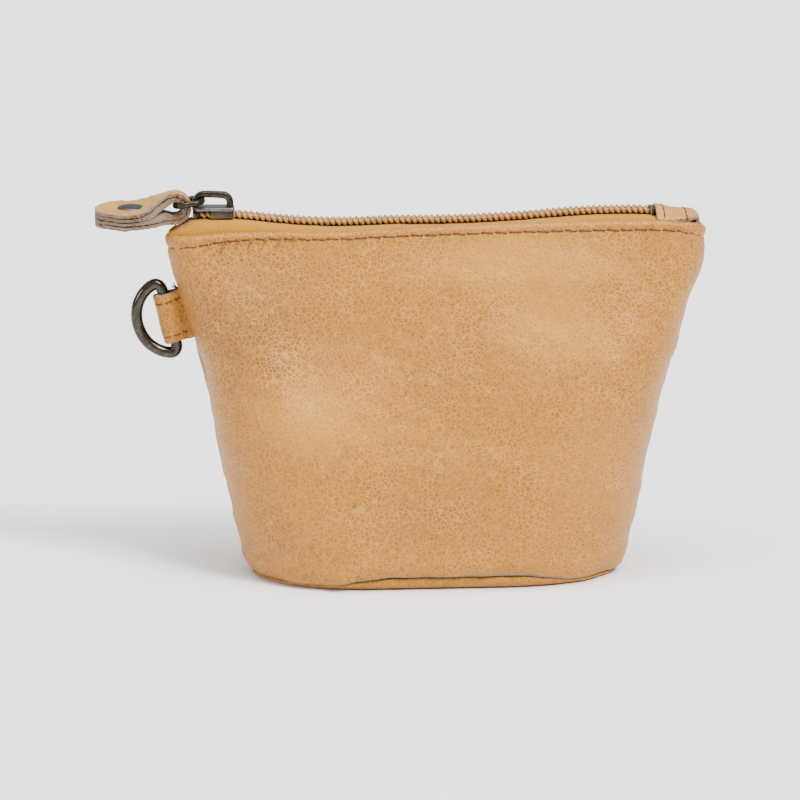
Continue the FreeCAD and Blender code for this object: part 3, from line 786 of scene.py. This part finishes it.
def make_coil(name, side, x0, x1, left, node):
    cord_x = np.linspace(x0, x1 + COIL_PITCH / 2, max(8, int((x1 - x0) / 1.2)))
    cord = np.stack([cord_x, np.full_like(cord_x, side * 1.5), chain_z(cord_x)], 1)
    verts, faces = joined([tube(coil_path(side, x0, x1), COIL_WIRE, 8), tube(cord, 0.5, 8)])
    piece = make_mesh(name, verts, faces, [coil_nylon])
    place_on_zip(piece, flap_of(side), left, "zip_coil", node)


# Metal.
def prism(points, z0, z1):
    """A plate with a plan outline of (x, y) points."""
    count = len(points)
    low = [(x, y, z0) for x, y in points]
    high = [(x, y, z1) for x, y in points]
    faces = [list(range(count))[::-1], list(range(count, 2 * count))]
    faces += [[i, (i + 1) % count, count + (i + 1) % count, count + i] for i in range(count)]
    return np.array(low + high, float), faces


def rounded_plan(x0, x1, half0, half1, r0, r1, steps=6):
    """A plate outline whose ends have their own half widths and corner radii."""
    points = []
    corners = ((x1, -half1, r1, -90), (x1, half1, r1, 0), (x0, half0, r0, 90), (x0, -half0, r0, 180))
    for x, half, r, start in corners:
        cx = x - r if start in (-90, 0) else x + r
        cy = half + r if half < 0 else half - r
        for a in np.radians(np.linspace(start, start + 90, steps)):
            points.append((cx + r * math.cos(a), cy + r * math.sin(a)))
    return points


def add_bevel(piece, width):
    bevel = piece.modifiers.new("bevel", "BEVEL")
    bevel.width = width * MM
    bevel.segments = 3
    bevel.limit_method = "ANGLE"
    bevel.angle_limit = math.radians(35)
    return piece


SLIDER_X0, SLIDER_X1 = -62.5, -51.7
PLATE_TOP = 96.6


def make_slider():
    """Two plates, flanges that guide the chain, and the wedge between them."""
    plate = rounded_plan(SLIDER_X0, SLIDER_X1, 3.9, 3.5, 2.2, 1.0)
    wedge = rounded_plan(-62.4, -60.2, 0.6, 0.6, 0.3, 0.3)
    parts = [prism(plate, 95.78, PLATE_TOP), prism(plate, 91.9, 92.9), prism(wedge, 92.8, 95.7)]
    for side in (-1, 1):
        plan = [(-57.9, 3.9), (-56.9, 3.0), (-52.0, 2.8), (-52.0, 3.5), (-52.7, 3.85)]
        plan = [(x, side * y) for x, y in plan][::side]
        parts.append(prism(plan, 93.95, 95.85))
        parts.append(prism(plan, 92.8, 93.05))
    pieces = []
    for i, (verts, faces) in enumerate(parts):
        # Part 0, the top plate, takes the grey metal whose lightness is painted reflection.
        piece = make_mesh("slider_part_%d" % i, verts, faces, [plate_metal_painted_reflection if i == 0 else brass])
        pieces.append(add_bevel(piece, 0.22 if i < 2 else 0.12))
    for piece in pieces:
        place(piece, "slider", "antique_brass", "slider_body")


def make_bail():
    """A bridge over the slider, wider at its feet than along its back."""
    foot, crown = PLATE_TOP - 0.1, PLATE_TOP + 3.25
    steps, sides = 48, 28
    path = [(-61.75, foot), (-61.75, foot + 0.9)]
    for a in np.radians(np.linspace(180, 90, 9)):
        path.append((-59.35 + 2.4 * math.cos(a), crown - 2.3 + 2.3 * math.sin(a)))
    for a in np.radians(np.linspace(90, 0, 9)):
        path.append((-54.75 + 1.95 * math.cos(a), crown - 2.2 + 1.95 * math.sin(a)))
    path += [(-52.8, foot + 0.8), (-52.8, foot)]
    path = resample(path, steps, smooth=1)
    t = np.linspace(0, 1, steps)
    half = 1.45 + 0.3 * np.abs(2 * t - 1) ** 3
    thick = 0.8 + 0.15 * t**3
    along = np.gradient(path, axis=0)
    along /= np.linalg.norm(along, axis=1)[:, None]
    normal = np.stack([-along[:, 1], along[:, 0]], 1)
    angle = np.linspace(0, math.tau, sides, endpoint=False)
    sx, sy = squared_off(np.cos(angle), 0.45), squared_off(np.sin(angle), 0.45)
    x = path[:, :1] + normal[:, :1] * thick[:, None] * sy
    z = path[:, 1:] + normal[:, 1:] * thick[:, None] * sy
    y = half[:, None] * sx + 0 * x
    verts = np.stack([x, y, z], 2).reshape(-1, 3)
    faces = grid_faces(steps, sides, wrap_cols=True) + end_caps(steps, sides)
    piece = make_mesh("slider_bail_arch", verts, faces, [brass])
    place(piece, "slider", "antique_brass", "slider_bail")


def tilted(points, angle, pivot):
    """Points turned about y by an angle and set on a pivot."""
    x, y, z = np.asarray(points, float).T
    turned_x = x * math.cos(angle) - z * math.sin(angle)
    turned_z = x * math.sin(angle) + z * math.cos(angle)
    return np.stack([turned_x, y, turned_z], 1) + pivot


RING_PIVOT = np.array([-59.9, 0.0, 98.35])
RING_DROOP = math.radians(9.5)
RING_LENGTH, RING_HALF, RING_CORNER, RING_WIRE = 7.0, 4.8, 2.6, 0.74


def ring_frame(points):
    """From the pull ring's own plane to the row frame."""
    return tilted(points, RING_DROOP, RING_PIVOT)


def make_pull_ring():
    near, far, out = -RING_CORNER, RING_CORNER - RING_LENGTH, RING_HALF - RING_CORNER
    corners = ((near, out, 0), (far, out, 90), (far, -out, 180), (near, -out, 270))
    path = []
    for cx, cy, start in corners:
        for a in np.radians(np.linspace(start, start + 90, 14)):
            path.append((cx + RING_CORNER * math.cos(a), cy + RING_CORNER * math.sin(a), 0.0))
    closed = np.array(path + path[:1])
    path = resample(closed, 97)[:-1]
    verts, faces = tube(ring_frame(path), RING_WIRE, 16, closed=True)
    piece = make_mesh("pull_ring_wire", verts, faces, [brass])
    place(piece, "pull_ring", "antique_brass", "pull_ring")


D_PIVOT = np.array([-68.66, 0.0, 68.0])
D_TILT = math.radians(14.0)
D_RADIUS, D_WIRE = 9.5, 1.5


def d_frame(points):
    """From the D-ring's own frame, with z along its bar, to the row frame."""
    return tilted(points, D_TILT, D_PIVOT)


def make_d_ring():
    """A D of round wire: its bar in the loop and its bow outside."""
    bow = np.radians(np.linspace(96, 264, 90))
    path = [(0.88 * D_RADIUS * math.cos(a), 0.0, D_RADIUS * math.sin(a)) for a in bow]
    inner = D_RADIUS - 1.6
    bar = [(0.0, 0.0, z) for z in np.linspace(-inner, inner, 30)]
    closed = np.array(path + bar + path[:1])
    path = resample(closed, 181)[:-1]
    for _ in range(30):
        soft = 0.25 * np.roll(path, 1, 0) + 0.5 * path + 0.25 * np.roll(path, -1, 0)
        at_corner = np.abs(path[:, 2]) > 5.8
        path = np.where(at_corner[:, None], soft, path)
    verts, faces = tube(d_frame(path), D_WIRE, 24, closed=True)
    piece = make_mesh("d_ring_wire", verts, faces, [d_metal])
    place(piece, "d_ring", "antique_brass", "d_ring")


# Pull tab.
TAB_PIVOT = ring_frame([(-RING_LENGTH, 0, 0)])[0]
TAB_LAYER, TAB_FOLD, TAB_TOP = 1.05, 4.1, -0.6
TAB_RIVET, TAB_END = -11.3, 9.3
TAB_ROLL = math.radians(3.5)
TAB_SHOULDER, TAB_NECK = 3.4, 3.4


def tab_half(x):
    """Half the strip's width: a neck at the fold and a round end."""
    x = np.asarray(x, float)
    shoulder = TAB_RIVET + TAB_SHOULDER
    widest = math.sqrt(TAB_END**2 - TAB_SHOULDER**2)
    round_end = np.sqrt(np.maximum(TAB_END**2 - (x - TAB_RIVET) ** 2, 0.02))
    t = np.clip((x - shoulder) / (-2.6 - shoulder), 0, 1)
    neck = widest + (TAB_NECK - widest) * (t * t * (3 - 2 * t) * 0.35 + t * 0.65)
    return np.where(x < shoulder, round_end, neck)


def fold_path(inset):
    """The line of one layer, from the lower end round the ring and back to the upper end."""
    bottom, top = TAB_TOP - 4 * TAB_LAYER + inset, TAB_TOP - inset
    radius = TAB_FOLD - inset
    drop = bottom + radius
    ends = TAB_RIVET - (TAB_END - 0.05) * np.cos(np.linspace(0, math.pi / 2, 12))
    points = [(x, bottom) for x in ends] + [(x, bottom) for x in np.linspace(TAB_RIVET, 0, 16)[1:]]
    for a in np.radians(np.linspace(-80, 112, 26)):
        points.append((radius * math.cos(a), drop + radius * math.sin(a)))
    last = points[-1]
    run = -9.6 + 0.3 * inset
    for t in np.linspace(0, 1, 14)[1:]:
        ease = t * t * (3 - 2 * t)
        points.append((last[0] + (run - last[0]) * t, last[1] + (top - last[1]) * (0.4 * t + 0.6 * ease)))
    points += [(x, top) for x in np.linspace(run, TAB_RIVET, 6)[1:]]
    points += [(x, top) for x in ends[::-1][1:]]
    points = np.array(points)
    for _ in range(3):
        inner = points[26:66]
        points[27:65] = 0.25 * inner[:-2] + 0.5 * inner[1:-1] + 0.25 * inner[2:]
    return points


def tab_lift(x, y):
    """The dimple round the rivet and a slight sag of the free end."""
    near = np.exp(-(((x - TAB_RIVET) ** 2 + y**2) / 22.0))
    curl = 0.10 * np.sin(x * 0.7 + 1.0) * (np.abs(y) / 9.8)
    return -0.22 * near + curl - 0.012 * np.clip(-x - 8, 0, 20)


def tab_frame(points):
    """Roll the tab a little towards the front and set it on the ring."""
    points = np.asarray(points, float)
    share = np.clip(-points[:, 0] / 6.0, 0, 1)
    roll = TAB_ROLL * share
    y = points[:, 1] * np.cos(roll) - points[:, 2] * np.sin(roll)
    z = points[:, 1] * np.sin(roll) + points[:, 2] * np.cos(roll)
    return np.stack([points[:, 0], y, z], 1) + TAB_PIVOT


def make_pull_tab():
    rng = np.random.default_rng(9)
    layers = (("outer", 0.5, pale_leather, "pull_leather", 0.0), ("lining", 1.55, suede, "raw_suede", -0.15))
    for name, inset, face, slot, trim in layers:
        path = fold_path(inset)
        wander = 0.12 * np.sin(np.arange(len(path)) * 0.37 + rng.uniform(0, 6))
        half = tab_half(path[:, 0]) + trim + wander
        filling = smooth_step(path[:, 0], -9.0, -6.0) * (1 - 0.5 * smooth_step(path[:, 0], -3.0, -0.5))
        extra = (filling if name == "lining" else 0.0 * filling)[::-1]
        verts, faces, kinds = band(
            path[::-1], half[::-1], TAB_LAYER * 0.97,
            columns=21, edge=6, seed=31, rough=0.16, lift=tab_lift, extra=extra,
        )
        piece = make_mesh("pull_tab_%s_strip" % name, tab_frame(verts), faces, [face, suede], kinds)
        place(piece, "pull_tab", slot, "pull_tab_" + name)


def turned(profile, centre, sides=48):
    """A round solid from a (radius, height) profile that starts and ends near its axis."""
    angle = np.linspace(0, math.tau, sides, endpoint=False)
    verts = [(r * math.cos(a), r * math.sin(a), h) for r, h in profile for a in angle]
    faces = grid_faces(len(profile), sides, wrap_cols=True) + end_caps(len(profile), sides)
    return np.array(verts) + np.array(centre), faces


def make_rivet():
    cap = [
        (0.05, 0.86), (0.8, 0.84), (1.7, 0.74), (2.6, 0.55), (3.2, 0.33), (3.5, 0.12), (3.55, -0.05),
        (3.4, -0.15), (0.05, -0.15),
    ]
    head = [
        (0.05, 4.0), (1.1, 4.0), (1.1, 0.25), (2.8, 0.2), (3.0, 0.0), (2.85, -0.25), (1.5, -0.42),
        (0.9, -0.2), (0.05, -0.2),
    ]
    bottom = TAB_TOP - 4 * TAB_LAYER - 0.25
    for name, node, profile, height in (
        ("rivet_cap_dome", "rivet_cap", cap, TAB_TOP - 0.18), ("rivet_post_head", "rivet_post", head, bottom),
    ):
        verts, faces = turned(profile, (TAB_RIVET, 0, height))
        piece = make_mesh(name, tab_frame(verts), faces, [gunmetal])
        place(piece, "pull_tab", "gunmetal", node)


# D-ring loop and end tab.
def make_d_loop():
    """A strip folded round the bar, its two ends together in the seam."""
    mid = 1.6 + 0.72
    path = [(6.2, -0.74), (4.6, -0.76), (3.4, -0.95), (2.4, -1.5)]
    for a in np.radians(np.linspace(-62, -298, 28)):
        path.append((mid * math.cos(a), mid * math.sin(a)))
    path += [(2.4, 1.5), (3.4, 0.95), (4.6, 0.76), (6.2, 0.74)]
    path = resample(path, 46, smooth=1)
    half = np.full(46, 6.3) + 0.12 * np.sin(np.arange(46) * 0.4)
    verts, faces, kinds = band(path, half, 1.3, columns=25, edge=5, seed=77)
    local = np.stack([verts[:, 0], verts[:, 2], verts[:, 1]], 1)
    local[:, 0] += 0.12 * np.sin(local[:, 2] * 0.5) * (local[:, 0] < 1)
    piece = make_mesh("d_loop_strip", d_frame(local), faces, [pouch_leather, suede], kinds)
    place(piece, "pouch", "leather", "d_ring_loop")


def make_d_loop_thread():
    parts = []
    for side in (-1, 1):
        for z in (-4.6, 4.2):
            for x0, x1 in ((-2.6, -0.6), (-0.3, 1.9), (2.2, 3.9)):
                t = np.linspace(0, 1, 9)
                x = x0 + (x1 - x0) * t
                fold = np.sqrt(np.maximum(2.98**2 - np.minimum(x, 0.0) ** 2, 0.2))
                surface = np.where(x < 1.2, fold, 2.9 - (x - 1.0) * 0.48)
                y = side * (np.maximum(surface, 1.42) + 0.03 - 0.5 * np.abs(2 * t - 1) ** 6)
                parts.append(tube(d_frame(np.stack([x, y, z + 0.03 * x], 1)), 0.17, 6))
    tuft = np.random.default_rng(4)
    for _ in range(7):
        t = np.linspace(0, 1, 8)[:, None]
        lean = tuft.normal(0, 0.5, 3)
        start = np.array([4.0, tuft.normal(0, 0.5), 6.2])
        parts.append(tube(d_frame(start + t * np.array([-0.5, 0, 1.3]) + t**2 * lean), 0.14, 5))
    verts, faces = joined(parts)
    piece = make_mesh("d_loop_stitches", verts, faces, [brown_thread])
    place(piece, "pouch", "thread", "d_loop_thread")


def end_tab_lift(x, y):
    """The tab follows the zip down to the hem on both sides."""
    slope = np.clip((np.abs(y) - 1.6) / 5.0, 0, 1.1)
    rise = 0.8 * np.exp(-((x - 57) / 3.0) ** 2) * (1 - slope)
    return -2.3 * slope**1.3 - 0.055 * (x - 57) * (1 - 0.4 * slope) + rise


def make_end_tab():
    upper, lower = 94.6, 92.0
    path = [(x, upper) for x in np.linspace(56.6, 66.0, 14)]
    for a in np.radians(np.linspace(80, -80, 12)):
        path.append((66.2 + 1.3 * math.cos(a), (upper + lower) / 2 + (upper - lower) / 2 * math.sin(a)))
    path += [(x, lower) for x in np.linspace(66.0, 57.2, 12)]
    path = resample(path, 44, smooth=1)
    half = 6.4 - 0.18 * np.clip(path[:, 0] - 60, 0, 9) - 1.4 * np.clip((path[:, 0] - 64.5) / 3, 0, 1) ** 2
    verts, faces, kinds = band(path, half, 1.2, columns=25, edge=5, seed=55, lift=end_tab_lift)
    piece = make_mesh("zip_end_tab_leather", verts, faces, [pale_leather, suede], kinds)
    place(piece, "pouch", "leather", "zip_end_tab")


def make_end_tab_thread():
    parts = []
    for x in (58.6, 64.4):
        ys = np.linspace(-6.0, 6.0, 7)
        for y0, y1 in zip(ys, ys[1:]):
            t = np.linspace(0, 1, 9)
            y = y0 + (y1 - y0) * t
            z = 94.6 + 0.62 + end_tab_lift(np.full_like(y, x), y) - 0.45 * np.abs(2 * t - 1) ** 6
            parts.append(tube(np.stack([np.full_like(y, x), y, z], 1), 0.18, 6))
    verts, faces = joined(parts)
    piece = make_mesh("end_tab_stitches", verts, faces, [brown_thread])
    place(piece, "pouch", "thread", "end_tab_thread")


def make_stops():
    """Crimped stops: one on each row's start and a staple over its end."""
    for i, side in enumerate((-1, 1)):
        verts, faces = prism(rounded_plan(-62.4, -61.1, 0.8, 0.8, 0.3, 0.3), 93.7, 95.4)
        verts[:, 1] += side * 1.75
        piece = add_bevel(make_mesh("top_stop_%d" % i, verts, faces, [brass]), 0.2)
        name = "front" if side < 0 else "back"
        place_on_zip(piece, name + "_flap", True, "antique_brass", "zip_top_stop_" + name)
    z = chain_z(55.9)
    verts, faces = prism(rounded_plan(55.2, 56.7, 2.9, 2.9, 0.5, 0.5), z - 1.1, z + 1.05)
    piece = add_bevel(make_mesh("bottom_stop", verts, faces, [brass]), 0.35)
    place(piece, "pouch", "antique_brass", "zip_bottom_stop")


# Build.
for panel_name, panel_side in SIDES.items():
    make_panel(panel_name, panel_side)
    make_lining(panel_name, panel_side)
    make_hem_thread(panel_name, panel_side)
    tape_node, coil_node = "zip_tape_" + panel_name, "zip_coil_" + panel_name
    make_tape(panel_name + "_tape_left", panel_side, -68.6, SPLIT_X, True, tape_node)
    make_tape(panel_name + "_tape_right", panel_side, SPLIT_X, 61.0, False, tape_node)
    make_coil(panel_name + "_coil_left", panel_side, -60.5, SPLIT_X, True, coil_node)
    make_coil(panel_name + "_coil_right", panel_side, SPLIT_X, 55.0, False, coil_node)
make_tray("base_leather", BASE_ROWS, pouch_leather, "leather", "base_panel", wobble=0.22)
make_tray("base_lining_cloth", LINING_ROWS, lining_cloth, "lining", "base_lining")
make_slider()
make_bail()
make_pull_ring()
make_d_ring()
make_pull_tab()
make_rivet()
make_d_loop()
make_d_loop_thread()
make_end_tab()
make_end_tab_thread()
make_stops()


# Floor, light and camera.
def make_floor():
    reach, low = 3000, -0.05
    corners = [(-reach, -reach, low), (reach, -reach, low), (reach, reach, low), (-reach, reach, low)]
    s = Surface("pale_floor")
    s.finish(Base_Color=(0.92, 0.92, 0.92, 1.0), Roughness=0.6, Specular_IOR_Level=0.1)
    floor = make_mesh("floor", corners, [[0, 1, 2, 3]], [s.material], smooth=False)


def direction(azimuth, elevation):
    """Towards a place round the pouch, where azimuth 0 is in front and positive is right."""
    turn, rise = math.radians(azimuth), math.radians(elevation)
    return np.array([math.sin(turn) * math.cos(rise), -math.cos(turn) * math.cos(rise), math.sin(rise)])


def add_sun(name, azimuth, elevation, spread, power):
    """A wide, even light from a direction."""
    data = bpy.data.lights.new(name, "SUN")
    data.energy = power
    data.angle = math.radians(spread)
    light = bpy.data.objects.new(name, data)
    bpy.context.scene.collection.objects.link(light)
    light.rotation_euler = Vector(-direction(azimuth, elevation)).to_track_quat("-Z", "Y").to_euler()


def add_camera():
    distance, target = 0.90, np.array([-0.0092, 0.0, 0.0452])
    away = direction(-4.0, 12.0)
    data = bpy.data.cameras.new("camera")
    data.lens = 155.8
    data.sensor_width = 36.0
    camera = bpy.data.objects.new("camera", data)
    bpy.context.scene.collection.objects.link(camera)
    camera.location = target + away * distance
    camera.rotation_euler = Vector(-away).to_track_quat("-Z", "Y").to_euler()
    bpy.context.scene.camera = camera


make_floor()
add_sun("key", 40, 50, 18, 5.1)
add_sun("left", -68, 20, 18, 1.1)
add_sun("top", -10, 80, 40, 3.0)
world = bpy.data.worlds.new("studio")
bpy.context.scene.world = world
world.use_nodes = True
world.node_tree.nodes["Background"].inputs["Color"].default_value = (1.0, 1.0, 1.0, 1.0)
world.node_tree.nodes["Background"].inputs["Strength"].default_value = 0.7
add_camera()
